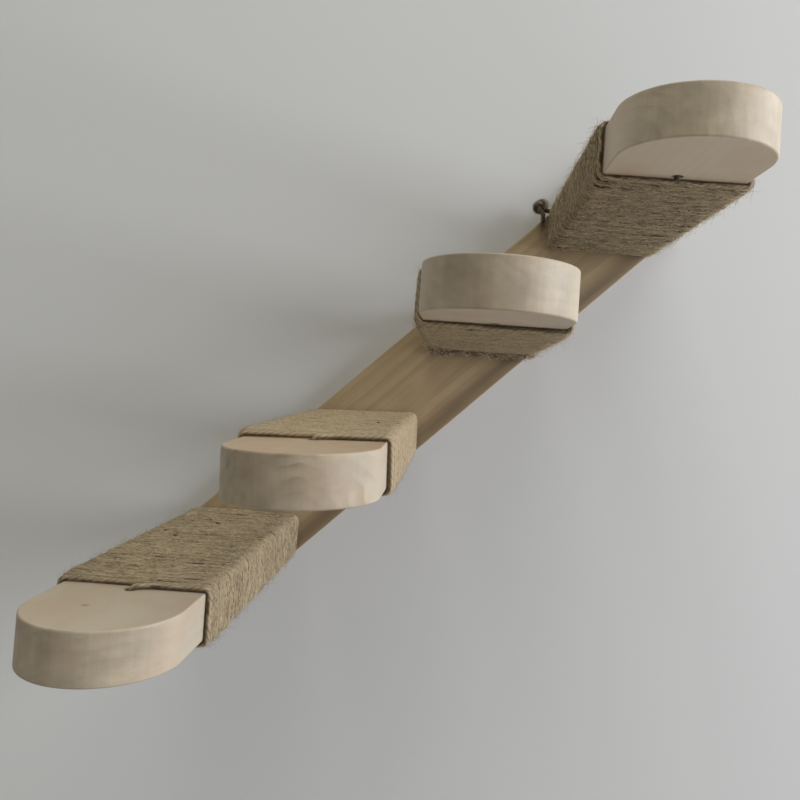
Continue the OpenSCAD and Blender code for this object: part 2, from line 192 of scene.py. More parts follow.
class FibreSettings(bpy.types.PropertyGroup):
    lying: count_of("Lying", "Fibres that lie along a usual winding", 7000, min=0, max=9000)
    standing: count_of("Standing", "Fibres that stand off a usual winding", 1600, min=0, max=3000)
    lying_length: length_of("Lying length", "Length of a usual lying fibre", 0.010)
    standing_length: length_of("Standing length", "Length of a usual standing fibre", 0.0042)
    shag: count_of("Shag", "Pale wisps under the third tread's worn root, with half as many dark ones", 800,
                   min=0, max=3000)
    shag_length: length_of("Shag length", "Length of a usual wisp there", 0.0115)
    shag_thick: length_of("Shag thick", "Thickness of a wisp at its root", 0.00095)
    thick: length_of("Thick", "Thickness of a lying fibre at its root", 0.00028)
    thin: length_of("Thin", "Thickness of a standing fibre at its root", 0.00018)
    spread: share_of("Spread", "How far the lying fibres turn aside from the rope's way", 0.28)
    tint: colour_of("Tint", "of the stray fibres", "c8b490")
    worn: colour_of("Worn", "of the dark wisps at the third tread's root", "8d715a")
    fresh: colour_of("Fresh", "of the pale wisps there", "ecdabd")
    bark: colour_of("Bark", "of the bits of bark", "33281c")
    flecks: count_of("Flecks", "Bits of bark caught in each winding", 6, min=0, max=40)
    seed: count_of("Seed", "Picks where the fibres stand", 23)


def wood_settings(name, pale, late, heart, contrast, grain, spacing, sawn, roughness):
    """A kind of wood's group of settings. The kinds differ only in their defaults."""
    return type(name, (bpy.types.PropertyGroup,), {"__annotations__": {
        "pale": colour_of("Pale", "of the wood between its rings", pale),
        "late": colour_of("Late", "of the dark side of a ring", late),
        "heart": colour_of("Heart", "of the warmer wood in patches", heart),
        "contrast": share_of("Contrast", "How much the rings show", contrast),
        "grain": share_of("Grain", "How much the fine fibres show", grain),
        "spacing": length_of("Ring spacing", "Distance from ring to ring", spacing),
        "end_grain": share_of("End grain", "How much darker and browner the wood is across its grain", 0.25),
        "sawn": share_of("Sawn", "How much saw lines and blotches show across the grain", sawn),
        "roughness": share_of("Roughness", "Roughness of the wood", roughness),
    }})


TreadWoodSettings = wood_settings(
    "TreadWoodSettings", pale="c0b39e", late="978365", heart="bda992", contrast=0.1, grain=0.11,
    spacing=0.0085, sawn=0.5, roughness=0.55)
BoardWoodSettings = wood_settings(
    "BoardWoodSettings", pale="a48f6d", late="786243", heart="9d8464", contrast=0.35, grain=0.45,
    spacing=0.0075, sawn=0.3, roughness=0.62)
DowelWoodSettings = wood_settings(
    "DowelWoodSettings", pale="c3a477", late="a5865b", heart="bd9a70", contrast=0.4, grain=0.2,
    spacing=0.003, sawn=0.2, roughness=0.6)


class SteelSettings(bpy.types.PropertyGroup):
    plated: colour_of("Plated steel", "of the zinc on the screws", "c4c6c8")
    brushed: colour_of("Brushed steel", "of the hanger plates", "b4b6b8")


class StageSettings(bpy.types.PropertyGroup):
    wall: colour_of("Wall", "of the wall", "cfcecd")
    floor: colour_of("Floor", "of the floor", "d4d3d1")
    floor_level: length_of("Floor level", "Height of the floor", -1.3)
    reach: length_of("Reach", "How far wall and floor go to each side", 4.0)
    window: power_of("Window", "Power of the window light", 50.5)
    ceiling: power_of("Ceiling", "Power of the light from above", 21.0)
    behind: power_of("Behind", "Power of the light behind the wall", 12.0)
    room: number_of("Room", "Strength of the light from all round", 0.336, min=0.0)
    lens: number_of("Lens", "Focal length of the camera", 33.007, unit="CAMERA")


class StairsSettings(bpy.types.PropertyGroup):
    rope: PointerProperty(type=RopeSettings)
    knot: PointerProperty(type=KnotSettings)
    fibres: PointerProperty(type=FibreSettings)
    tread_wood: PointerProperty(type=TreadWoodSettings)
    board_wood: PointerProperty(type=BoardWoodSettings)
    dowel_wood: PointerProperty(type=DowelWoodSettings)
    steel: PointerProperty(type=SteelSettings)
    stage: PointerProperty(type=StageSettings)


class Wire:
    """A socket of a material's nodes. Python's operators on it, which follow the class, add Math nodes."""

    def __init__(self, tree, socket=None):
        self.tree = tree
        self.socket = socket

    def node(self, kind, settings=None, sockets=None, out=0):
        """Adds a shader node: first its settings, then its sockets' values or links. Gives one output back."""
        made = self.tree.nodes.new(f"ShaderNode{kind}")
        for name, value in (settings or {}).items():
            setattr(made, name, value)
        for name, value in (sockets or {}).items():
            if isinstance(value, Wire):
                self.tree.links.new(value.socket, made.inputs[name])
            else:
                made.inputs[name].default_value = value
        return Wire(self.tree, made.outputs[out] if len(made.outputs) else None)

    def maths(self, operation, *values):
        """One step of arithmetic on values or wires."""
        return self.node("Math", {"operation": operation}, dict(enumerate(values)))

    def __abs__(self):
        return self.maths("ABSOLUTE", self)

    def fraction(self):
        return self.maths("FRACT", self)

    def between(self, low, high):
        """Nothing below low, all above high, and a soft step from one to the other."""
        return self.node("MapRange", {"interpolation_type": "SMOOTHSTEP"},
                         {"Value": self, "From Min": low, "From Max": high})

    def scaled(self, x, y, z):
        """The vector, stretched along each axis."""
        return self.node("VectorMath", {"operation": "MULTIPLY"}, {0: self, 1: (x, y, z)})

    def noise(self, shift=0.0, detail=2.0, roughness=0.5, scale=1.0):
        """Noise from nothing to all, read at the vector. The shift picks another part of it."""
        return self.node("TexNoise", {"noise_dimensions": "4D"},
                         {"Vector": self, "W": shift, "Scale": scale, "Detail": detail,
                          "Roughness": roughness})

    def vector(self, x, y=0.0, z=0.0):
        """A vector of three parts."""
        return self.node("CombineXYZ", sockets={0: x, 1: y, 2: z})

    def parts(self):
        """The vector's three parts."""
        split = self.node("SeparateXYZ", sockets={0: self}).socket.node
        return [Wire(self.tree, part) for part in split.outputs]

    def blend(self, share, one, other, how="MIX"):
        """A colour between one and another, by a share."""
        return self.node("Mix", {"data_type": "RGBA", "blend_type": how},
                         {0: share, 6: one, 7: other}, out=2)

    def mixed(self, other, share):
        """The colour, mixed with another one by a share."""
        return self.blend(share, self, other)

    def shaded(self, red, green, blue):
        """The colour, with each of its parts multiplied by a value."""
        tone = self.node("CombineColor", sockets={0: red, 1: green, 2: blue})
        return self.blend(1.0, self, tone, "MULTIPLY")

    def bump(self, strength, distance):
        """The surface's normal, bent by the value as a height."""
        return self.node("Bump", sockets={"Strength": strength, "Distance": distance, "Height": self})


for word, operation in (("add", "ADD"), ("sub", "SUBTRACT"), ("mul", "MULTIPLY"), ("truediv", "DIVIDE"),
                        ("pow", "POWER")):
    setattr(Wire, f"__{word}__", lambda self, other, operation=operation: self.maths(operation, self, other))
    setattr(Wire, f"__r{word}__", lambda self, other, operation=operation: self.maths(operation, other, self))


def solid(shade):
    """A colour with its fourth part, as sockets take it."""
    return (*shade, 1.0)


def new_finish(name):
    """An empty material, and the wire that its nodes start from."""
    finish = bpy.data.materials.new(name)
    finish.use_nodes = True
    finish.node_tree.nodes.clear()
    return finish, Wire(finish.node_tree)


def lacquer(start, shader):
    """Joins a shader to the material's output."""
    start.node("OutputMaterial", sockets={"Surface": shader})


def skin(start, sockets):
    """Joins a plain surface with these sockets to the material's output."""
    lacquer(start, start.node("BsdfPrincipled", sockets=sockets))


def wood_finish(name, look, place, turn, pith, seed, pale=1.0, yellow=0.0, ringed=1.0, marks=(), lines=()):
    """Solid wood whose grain runs along the y of the piece's own frame, which place and turn set.

    The rings are shells round the pith's line: the distance from it, bent a little by noise and
    pushed aside round each knot, is cut into years, and each year goes from pale to late wood.
    Fine fibres are noise drawn out along the grain, and slow noise makes patches of warmer heart.
    Where the surface cuts across the grain the wood is darker and its rings are plainer, and it
    has blotches and the saw's upright lines, which are noise drawn out along z. pale dims all of
    it, and yellow the green and the blue of its top and underside. ringed says how plain the rings
    are across the grain. marks are its small knots, and lines the dark lines all along it: rings
    of the grain, and painted shade along an edge.
    """
    finish, start = new_finish(name)
    coords = start.node("TexCoord", out="Object")
    local = start.node("Mapping", {"vector_type": "TEXTURE"},
                       {"Vector": coords, "Location": place, "Rotation": turn})
    x, y, z = local.parts()

    warp = local.scaled(9.0, 1.4, 9.0).noise(seed)
    ripple = local.scaled(50.0, 4.0, 50.0).noise(seed + 13)
    reach = ((x - pith[0] - y * pith[2]) ** 2.0 + (z - pith[1]) ** 2.0) ** 0.5
    reach = reach + (warp - 0.5) * 0.016 + (ripple - 0.5) * 0.009
    darks = []
    for at, tall, size, spread, dark in marks:
        away = start.node("VectorMath", {"operation": "DISTANCE"},
                          {0: local.scaled(1.0, 1.0, tall), 1: at}, out="Value")
        away = away + (local.noise(seed + 3, 1.0, 0.5, 260.0) - 0.5) * size * 0.5
        reach = reach + start.maths("EXPONENT", away * away * (-1 / spread ** 2)) * spread
        darks.append((1 - away.between(size * 0.35, size)) * dark)
    # Dark lines all along the piece: on the board, a dark ring of the grain and painted shade along its long
    # edge
    for across, half, dark in lines:
        darks.append((1 - abs(x + (warp - 0.5) * 0.006 - across).between(0.0, half)) * dark)
    drift = local.scaled(3.0, 0.6, 3.0).noise(seed + 1, 1.0)
    year = (reach / look.spacing + drift * 2.0).fraction()
    late = year.between(0.3, 0.92) * (1 - year.between(0.93, 1.0))

    normal = start.node("TexCoord", out="Normal")
    facing = [abs(start.node("VectorMath", {"operation": "DOT_PRODUCT"},
                             {0: normal, 1: Euler(turn).to_matrix() @ Vector(axis)}, out="Value"))
              for axis in ((0.0, 1.0, 0.0), (0.0, 0.0, 1.0))]
    ends, flats = facing[0].between(0.15, 0.8), facing[1].between(0.5, 0.9)

    fibres = local.scaled(480.0, 9.0, 480.0).noise(seed + 2, 3.0, 0.6)
    patches = local.scaled(14.0, 5.0, 14.0).noise(seed + 5, 2.0, 0.55)
    clouds = local.scaled(34.0, 22.0, 34.0).noise(seed + 7)
    blotches = local.scaled(38.0, 38.0, 52.0).noise(seed + 9, 3.0, 0.6)
    sawn = local.scaled(130.0, 130.0, 6.0).noise(seed + 11, 4.0, 0.75)
    plain = local.scaled(24.0, 24.0, 30.0).noise(seed + 15).between(0.44, 0.62)
    rings = late * look.contrast * (patches * 0.9 + 0.35) * (ends * plain * (3.5 * ringed) + 1)
    base = start.blend(rings, solid(look.pale), solid(look.late))
    base = base.mixed(solid(look.heart), clouds.between(0.4, 0.66) * 0.8)
    base = base.mixed(solid(look.late), ends * (look.end_grain * 1.4))
    shade = ((fibres - 0.5) * look.grain + (patches - 0.5) * 0.14 + 1.0) * pale
    shade = shade * (1 - ends * (look.end_grain * 0.5))
    shade = shade * (1 - ends * look.sawn * ((blotches - 0.5) * 1.7 + (sawn - 0.5) * 0.85))
    if darks:
        darkest = darks[0]
        for dark in darks[1:]:
            darkest = start.maths("MAXIMUM", darkest, dark)
        base = base.mixed(solid(tuple(part * 0.4 for part in look.late)), darkest)
    paint = base.shaded(*(shade * (1 - flats * (0.05 + share)) for share in (0.0, yellow / 2, yellow)))

    height = fibres * 0.6 + late * (0.25 * min(ringed, 1.0)) + sawn * ends * look.sawn
    skin(start, {"Base Color": paint, "Roughness": (fibres - 0.5) * 0.2 + look.roughness,
                 "Normal": height.bump(0.35, 0.0002)})
    return finish


def rope_finish(name, look, lay, pale=1.0, uneven=1.0):
    """Jute rope. The map's u is metres along the rope, and v goes once round its three strands.

    A strand's groove gets painted shade, but only here and there, as noise fills it with fluff
    elsewhere. The place round the rope is v less u over the lay, so its cosine is one at the rope's
    outside and falls to nothing where it meets the next turn: there painted shade darkens it in
    stretches. The first turn gets painted shade all along it, in its grooves and where it meets the
    wood, and the end in the hole gets painted shade too.
    Fibres are noise read on a circle of that place, which has no seam, and slow noise makes worn
    and dusty patches. pale and uneven set one winding off from another.
    """
    finish, start = new_finish(name)
    u, v, _ = start.node("UVMap", {"uv_map": "rope"}).parts()
    crest = 1 - abs((v * 3.0).fraction() * 2.0 - 1)
    around = (v - u / lay) * math.tau
    outside = start.maths("COSINE", around)
    fibres = start.vector(outside * 2.3, start.maths("SINE", around) * 2.3, u * 95.0).noise(0.0, 4.0, 0.7)
    stretches = start.vector(u * 55.0).noise(2.0, 2.0, 0.6)
    slubs = start.vector(v * 2.0, u * 26.0).noise(4.0)
    coords = start.node("TexCoord", out="Object")
    patches = coords.scaled(22.0, 30.0, 22.0).noise(9.0, 3.0, 0.55)
    open_here = coords.noise(5.0, 2.0, 0.6, 110.0).between(0.5, 0.68) * (0.5 * uneven)
    first_turn = 1 - u.between(0.28, 0.34)

    # Painted shade in the strands' grooves, here and there, and all along the first turn
    groove = (1 - crest.between(0.0, 0.42)) * (open_here + first_turn * 0.8 + 0.08)
    # Painted shade where a turn meets the next one, in stretches
    shade_between_turns = (1 - outside.between(0.1, 0.8)) * stretches.between(0.42, 0.6) * (0.85 * uneven)
    # Painted shade all along the first turn where it meets the wood
    seam = (1 - outside.between(-0.3, 0.5)) * first_turn * 0.8
    base = start.blend(groove, solid(look.crest), solid(look.groove_shade_and_fray))
    base = base.mixed(solid(look.pale), fibres.between(0.5, 0.66) * (0.85 * uneven))
    base = base.mixed(solid(look.dark_fibres_and_shade), (1 - fibres.between(0.36, 0.47)) * (0.55 * uneven))
    base = base.mixed(solid(look.dark_fibres_and_shade), start.maths("MAXIMUM", shade_between_turns, seam))
    # Painted shade on the rope's end down in the hole
    base = base.mixed(solid(look.dark_fibres_and_shade), 1 - u.between(0.003, 0.01))
    shade = ((slubs - 0.5) * 0.3 + (patches - 0.5) * 0.4) * uneven + pale
    skin(start, {
        "Base Color": base.shaded(shade, shade, shade), "Roughness": 0.86 - fibres * 0.12,
        "Normal": fibres.bump(min(1.0, 0.45 + 0.4 * uneven), 0.0007),
        "Sheen Weight": 0.25, "Sheen Roughness": 0.5, "Sheen Tint": solid(look.pale)})
    return finish


def fibre_finish(name, tint, seed, least=0.6):
    """Jute fibres, each paler or darker by slow noise, from the least share of the tint to all of it."""
    finish, start = new_finish(name)
    drift = start.node("TexCoord", out="Object").noise(seed, 1.0, 0.5, 420.0)
    dark = tuple(part * least for part in tint)
    paint = start.blend(drift.between(0.38, 0.62), solid(dark), solid(tint))
    skin(start, {"Base Color": paint, "Roughness": 0.7 - drift * 0.2})
    return finish


def steel_finish(name, tint, roughness, stretch):
    """Steel with fine lines: noise drawn out along one axis moves roughness and height a little."""
    finish, start = new_finish(name)
    coords = start.node("TexCoord", out="Object")
    lines = coords.scaled(*stretch).noise(0.0, 3.0, 0.6)
    cloud = coords.noise(2.0, 3.0, 0.6, 90.0)
    shade = (lines - 0.5) * 0.25 + (cloud - 0.5) * 0.3 + 1.0
    grey = start.node("CombineColor", sockets={0: shade, 1: shade, 2: shade})
    skin(start, {
        "Base Color": start.blend(1.0, solid(tint), grey, "MULTIPLY"), "Metallic": 1.0,
        "Roughness": (lines - 0.5) * 0.25 + (cloud - 0.5) * 0.2 + roughness,
        "Normal": lines.bump(0.25, 0.0001)})
    return finish


def stage_finish(name, tint, one_sided):
    """Matt paint. A one-sided wall is clear from behind, so the object's back can be looked at."""
    finish, start = new_finish(name)
    paint = start.node("BsdfDiffuse", sockets={"Color": solid(tint), "Roughness": 0.5})
    if one_sided:
        behind = start.node("NewGeometry", out="Backfacing")
        clear = start.node("BsdfTransparent")
        paint = start.node("MixShader", sockets={0: behind, 1: paint, 2: clear})
    lacquer(start, paint)
    return finish


def unit(vectors):
    """Vectors of length one, each divided by its own length."""
    return vectors / np.linalg.norm(vectors, axis=-1, keepdims=True)


def way_along(route):
    """Length of the route up to each of its points: the sum of the steps before it."""
    return np.concatenate([[0.0], np.cumsum(np.linalg.norm(np.diff(route, axis=0), axis=1))])


def resampled(route, step):
    """The route with a point at every step: each coordinate read off against the way along it."""
    way = way_along(route)
    even = np.linspace(0.0, way[-1], max(2, int(round(way[-1] / step)) + 1))
    return np.stack([np.interp(even, way, route[:, axis]) for axis in range(3)], axis=1)


def tread_place(n):
    """Middle of tread n's root, at even steps from the first tread to the last, which both stand level.

    Their roots' middles are the middles of their boxes across and up, at the wall end.
    """
    (low, high), (end_low, end_high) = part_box(f"tread_{TREADS[0]}"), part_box(f"tread_{TREADS[-1]}")
    first = np.array([(low.x + high.x) / 2, high.y, (low.z + high.z) / 2])
    last = np.array([(end_low.x + end_high.x) / 2, end_high.y, (end_low.z + end_high.z) / 2])
    return first + (last - first) * (n - TREADS[0]) / (TREADS[-1] - TREADS[0])


def tread_lean(n):
    """Turn of tread n about the middle of its root: first its dip about x, then its roll about y."""
    dip, roll = LEANS.get(n, (0.0, 0.0))
    return math.radians(dip), math.radians(-roll), 0.0


def on_tread(n, points):
    """Points of tread n's own frame, leaned with it and set in its place."""
    return tread_place(n) + points @ np.array(Euler(tread_lean(n)).to_matrix()).T


def winding_room(n, rope):
    """Half width, half height and first and last distance of winding n's middle line.

    They are those of the first winding's solid, but a tread that dips needs more room at its root:
    half the winding's height times the tangent of the dip.
    """
    low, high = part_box(f"rope_{TREADS[0]}")
    place = tread_place(TREADS[0])
    half = rope.thickness / 2
    half_x, half_z = high.x - place[0] - half, high.z - place[2] - half
    room = (high.z - place[2]) * abs(math.tan(tread_lean(n)[0]))
    return half_x, half_z, place[1] - low.y - half, place[1] - high.y + half + room


def turn_corners(half_x, half_z, radius, steps=10):
    """One turn's corners seen along the tread, from the top's left by the underside to its right.

    Each is a quarter circle: the corner's middle plus the radius times cosine and sine.
    """
    angle = np.radians(np.linspace(90.0, 180.0, steps + 1))[None, :] + np.arange(4)[:, None] * math.pi / 2
    side = np.array([[-1.0, -1.0], [-1.0, 1.0], [1.0, 1.0], [1.0, -1.0]])
    x = side[:, :1] * (half_x - radius) + radius * np.cos(angle)
    z = np.array([[1.0], [-1.0], [-1.0], [1.0]]) * (half_z - radius) + radius * np.sin(angle)
    return x.ravel(), z.ravel()


def wander(way, reach, dice):
    """A slow, even-handed straying along the way: a sum of sine waves of unlike lengths and starts.

    They are from 25 mm to 0.6 m long, and fade out over the last quarter of a metre to each end.
    """
    waves = dice.uniform(0.025, 0.6, 14)
    starts = dice.uniform(0.0, math.tau, 14)
    sizes = waves ** 0.35
    swing = (np.sin(way[:, None] * math.tau / waves + starts) * sizes).sum(axis=1)
    swing = swing / np.sqrt((sizes ** 2).sum() / 2)
    ends = np.clip(np.minimum(way, way[-1] - way) / 0.25, 0.0, 1.0)
    return swing * ends * reach


def eased(share):
    """A soft step down from one to nothing, as the share goes from nothing to one."""
    share = np.clip(share, 0.0, 1.0)
    return 1 - share ** 2 * (3 - 2 * share)


def side_of(n):
    """The way across that has winding n's outside to its left: it sets off to the left only with a knot."""
    return on_tread(n, ACROSS if n == KNOTTED else -ACROSS) - tread_place(n)


def winding_route(n, rope, knot):
    """Middle line of winding n, in the row's frame.

    It comes up out of the hole past the seam, bends aside, is led over to its first turn by a soft
    step, goes round the tread, nearer to the wall by the same step in each turn, and bends down
    into the hole at the root. The knotted one comes up through the whole tread, sets off to the
    left and goes on past the left side at its end. The others mirror it, and start in the hole.
    """
    half_x, half_z, hole, last = winding_room(n, rope)
    first = hole - rope.lead_over
    corner_x, corner_z = turn_corners(half_x, half_z, rope.corner)
    loop = np.stack([np.r_[0.0, corner_x, 0.0], np.zeros(len(corner_x) + 2),
                     np.r_[half_z, corner_z, half_z]], axis=1)
    way = way_along(loop)
    around = way[-1]
    turn = np.repeat(np.arange(rope.turns), len(corner_x))
    made = turn + np.tile(way[1:-1], rope.turns) / around

    bend = np.radians(np.linspace(0.0, 90.0, 8))
    up_x = -rope.bend + rope.bend * np.cos(bend)
    up_z = half_z - rope.bend + rope.bend * np.sin(bend)
    bottom = half_z - rope.bend - rope.end
    lead_x = -np.linspace(rope.bend, rope.lead_run, 9)[1:]
    x = np.r_[0.0, up_x, lead_x, np.tile(corner_x, rope.turns)]
    z = np.r_[up_z, np.full(len(lead_x), half_z), np.tile(corner_z, rope.turns)]
    made = np.r_[0.0, -up_x / around, -lead_x / around, made]
    if n == KNOTTED:
        out = half_x + knot.lead
        x, z, made = np.r_[x, -out], np.r_[-half_z, z, half_z], np.r_[made, rope.turns + out / around]
    else:
        x, z = -np.r_[x, -up_x[::-1], 0.0], np.r_[bottom, z, up_z[::-1], bottom]
        made = np.r_[made, rope.turns + up_x[::-1] / around, rope.turns]
    led = rope.lead_over * eased(made * around / rope.lead_run)
    step = (first - last) / made[-1]
    return resampled(on_tread(n, np.stack([x, -first - led + step * made, z], axis=1)), rope.step)


def frame_along(route, across):
    """Directions along the route, outward (across turned by it) and the third one, at each point."""
    along = unit(np.gradient(route, axis=0))
    outward = unit(np.cross(across, along))
    return along, outward, np.cross(along, outward)


def pulled_tight(way, rope):
    """Share by which the rope is thinner: the whole squeeze for one turn, and then softly less to nothing."""
    return rope.squeeze * eased(way / rope.round_way - 1)


def laid_tube(route, across, thickness, lay, rope, dice):
    """Corners, faces and map of a rope of three strands along a route.

    thickness has one value for each point of the route. The cross section has four points to a
    strand: its two flanks, its crest and the groove. It turns once in each lay, against the way,
    so that the points follow the strands. Its radius swells and thins a little along the way.
    """
    way = way_along(route)
    _, outward, third = frame_along(route, across)
    count = 12
    step = np.arange(count)
    swell = 1 - rope.groove * np.array([1.0, 0.36, 0.0, 0.36])[step % 4]
    drift = wander(way, 0.5, dice)
    angle = step[None, :] * math.tau / count - (way * math.tau / lay + drift)[:, None]
    slub = 1 + np.clip(wander(way, rope.slub, dice), -0.12, 0.12)
    radius = (thickness / 2 * slub)[:, None] * swell[None, :]
    ring = route[:, None] + radius[..., None] * (
        np.cos(angle)[..., None] * outward[:, None] + np.sin(angle)[..., None] * third[:, None])
    row = np.arange(len(way) - 1)[:, None] * count
    after = (step + 1) % count
    quads = np.stack([row + step, row + after, row + count + after, row + count + step], axis=2)
    faces = quads.reshape(-1, 4).tolist() + [step[::-1].tolist(), (step + (len(way) - 1) * count).tolist()]
    u0, u1 = np.repeat(way[:-1], count), np.repeat(way[1:], count)
    v0 = np.tile(step / count, len(way) - 1)
    v1 = v0 + 1 / count
    sides = np.stack([u0, v0, u0, v1, u1, v1, u1, v0], axis=1)
    caps = np.stack([np.repeat([0.0, way[-1]], count), np.r_[step[::-1], step] / count], axis=1)
    return ring.reshape(-1, 3), faces, np.concatenate([sides.reshape(-1, 2), caps])


def tapering_hairs(roots, starts, bends, lengths, radii, steps=4, sides=3):
    """Corners and faces of thin hairs.

    A hair's point is its root plus its length times the start times t plus the bend times t
    squared, and its radius falls to a third at the tip. The two small numbers keep the way across
    a straight hair from being nothing.
    """
    t = np.linspace(0.0, 1.0, steps + 1)[None, :, None]
    line = roots[:, None] + lengths[:, None, None] * (starts[:, None] * t + bends[:, None] * t ** 2)
    along = unit(starts[:, None] + 2 * bends[:, None] * t)
    side = unit(np.cross(along, unit(np.cross(starts, bends) + 1e-9)[:, None] + 0.013))
    other = np.cross(along, side)
    angle = np.arange(sides) * math.tau / sides
    radius = (radii[:, None, None] * (1 - 0.67 * t))[..., None]
    ring = line[:, :, None] + radius * (
        np.cos(angle)[:, None] * side[:, :, None] + np.sin(angle)[:, None] * other[:, :, None])
    first = (np.arange(len(roots)) * (steps + 1) * sides)[:, None]
    base = first[..., None] + (np.arange(steps) * sides)[:, None]
    now, after = np.arange(sides), (np.arange(sides) + 1) % sides
    quads = np.stack([base + now, base + after, base + sides + after, base + sides + now], axis=3)
    caps = np.concatenate([first + now[::-1], first + steps * sides + now])
    return ring.reshape(-1, 3), quads.reshape(-1, 4).tolist() + caps.tolist()


def placed(name, data):
    """A new object in the scene, at the origin."""
    made = bpy.data.objects.new(name, data)
    bpy.context.scene.collection.objects.link(made)
    return made


def new_mesh(name, corners, faces, finish):
    """A mesh of one material."""
    mesh = bpy.data.meshes.new(name)
    mesh.from_pydata(corners, [], faces)
    mesh.materials.append(finish)
    return mesh


def new_piece(name, shape, finish):
    """A smooth piece that rides on the stairs, from a shape's corners, faces and perhaps map."""
    corners, faces, *maps = shape
    mesh = new_mesh(name, corners.tolist(), faces, finish)
    for values in maps:
        layer = mesh.uv_layers.new(name="rope")
        layer.data.foreach_set("uv", values.astype(np.float32).ravel())
    mesh.polygons.foreach_set("use_smooth", np.ones(len(mesh.polygons), bool))
    mesh.update()
    piece = placed(name, mesh)
    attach(piece, BODY)
    return piece


def dress(node, finish):
    """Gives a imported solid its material, in its own material slots."""
    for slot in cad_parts[node].material_slots:
        slot.material = finish


def wound(n, rope, knot):
    """Winding n's route, with each turn a little to one side and a little proud of its even place.

    Where the rope is pulled tight its middle lies nearer to the wood, by half of what it is thinner.
    """
    dice = np.random.default_rng(rope.seed + n)
    route = winding_route(n, rope, knot)
    way = way_along(route)
    outward = frame_along(route, side_of(n))[1]
    aside = wander(way, rope.wander, dice)[:, None] * side_of(n)
    proud = np.abs(wander(way, rope.wander, dice))[:, None] * outward
    return route + aside + proud - outward * (rope.thickness / 2 * pulled_tight(way, rope))[:, None]


def sown_hairs(route, across, thickness, count, spread, lift, length, width, dice, among=None, fall=1.0):
    """Hairs sown along a rope's outer half, or only at those of its points that among lists.

    Each sets off forwards or backwards along the rope, turned aside by the spread and up by the
    lift. It bends back by the fall's share of that, so with a whole share it ends near the rope.
    """
    along, outward, third = frame_along(route, across)
    margin = min(60, len(route) // 10)
    at = dice.choice(np.arange(margin, len(route) - margin) if among is None else among, count)
    tilt = dice.normal(0.0, 0.6, count)[:, None]
    out = unit(np.cos(tilt) * outward[at] + np.sin(tilt) * third[at])
    ahead = dice.choice([-1.0, 1.0], count)[:, None]
    up = lift * np.abs(dice.normal(0.0, 1.0, count))[:, None] + 0.03
    starts = unit(ahead * along[at] + third[at] * dice.normal(0.0, spread, count)[:, None] + out * up)
    sway = third[at] * dice.normal(0.0, spread * 0.7, count)[:, None]
    bends = sway - out * up * fall * dice.uniform(0.3, 1.1, count)[:, None]
    lengths = length * np.minimum(dice.lognormal(-0.1, 0.4, count), 1.5)
    radii = width / 2 * dice.uniform(0.6, 1.2, count)
    return tapering_hairs(route[at] + out * thickness * 0.48, starts, bends, lengths, radii, steps=3)


class CATSTAIRS_OT_wind_rope(bpy.types.Operator):
    """Winds each tread with one unbroken laid rope, in place of its plain winding"""
    bl_idname = "cat_stairs.wind_rope"
    bl_label = "Wind the rope"

    def execute(self, context):
        settings = context.scene.cat_stairs
        rope = settings.rope
        for n in TREADS:
            # The tube's own draws start apart from those of its route
            dice = np.random.default_rng(rope.seed + 50 + n)
            route = wound(n, rope, settings.knot)
            thickness = rope.thickness * rope.fullness * (1 - pulled_tight(way_along(route), rope))
            shape = laid_tube(route, side_of(n), thickness, rope.lay, rope, dice)
            finish = rope_finish(f"jute rope {n}", rope, rope.lay, *WINDINGS[n])
            piece = new_piece(f"laid_rope_{n}", shape, finish)
            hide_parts(f"rope_{n}")
        return {"FINISHED"}


def knot_route(rope, knot):
    """Middle line of the overhand knot, in the row's frame.

    Its lobes are a curve whose distance from the middle is the mean radius plus the lobe times the
    cosine of three angles, at twice the angle, with a depth that goes as the sine of three angles.
    """
    half_x, half_z, _, last = winding_room(KNOTTED, rope)
    angle = np.radians(np.linspace(20.0, 340.0, 33))
    radius = knot.mean + knot.lobe * np.cos(3 * angle)
    turned = 2 * angle - math.radians(50.0)
    lobes = np.stack([radius * np.cos(turned), knot.depth * np.sin(3 * angle), radius * np.sin(turned)], 1)
    # The ways in and out, like the lobes, are in rope thicknesses from the knot's middle
    lead = np.array([[3.2, 0.62, -1.05], [2.2, 0.62, -1.05], [1.85, 0.62, -0.88], [1.68, 0.62, -0.58]])
    tail = np.array([[0.42, -0.68, -1.92], [0.72, -0.7, -2.35], [0.82, -0.7, -2.9],
                     [0.82, -0.7, -2.9 - knot.tail / knot.thickness]])
    middle = np.array([-half_x - knot.lead, -last, half_z]) - lead[0] * knot.thickness
    points = on_tread(KNOTTED, middle + np.concatenate([lead, lobes, tail]) * knot.thickness)
    return resampled(points, 0.0009)


